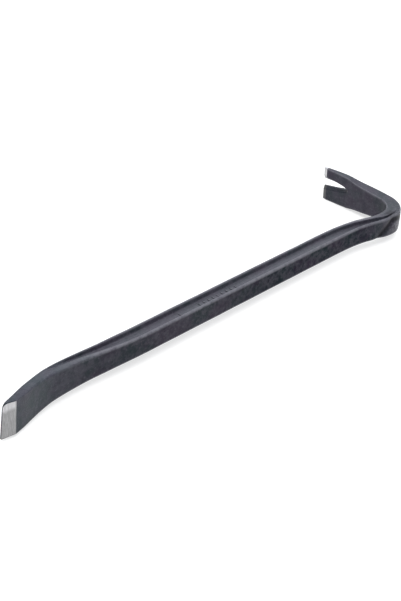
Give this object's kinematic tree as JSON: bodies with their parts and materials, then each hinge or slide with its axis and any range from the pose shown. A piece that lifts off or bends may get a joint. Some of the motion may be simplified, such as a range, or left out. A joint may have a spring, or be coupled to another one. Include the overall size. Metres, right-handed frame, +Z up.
{
  "type": "pry bar",
  "caption": "Forged steel pry bar with an I-section shank, a flared bevelled chisel end and a right-angle claw with a tapered nail slot.",
  "frame": {"origin": "on the surface it lies on, under the middle of its bounding box", "axes": "+X along the shank from the chisel edge to the heel, +Y from the shank towards the claw tips, +Z up, square to the plane of the bend"},
  "size_m": [0.5998, 0.1222, 0.0402],
  "materials": {
    "lacquered_steel": "dark blue-grey satin lacquer over forged steel",
    "ground_steel": "bare steel, ground bright"
  },
  "bodies": {
    "root": {"chisel_edge": "ground_steel", "chisel_blade": "lacquered_steel", "chisel_neck": "lacquered_steel", "shank": "lacquered_steel", "heel_bend": "lacquered_steel", "claw": "lacquered_steel", "claw_tips": "ground_steel", "channel_dashes": "lacquered_steel"}
  },
  "joints": []
}
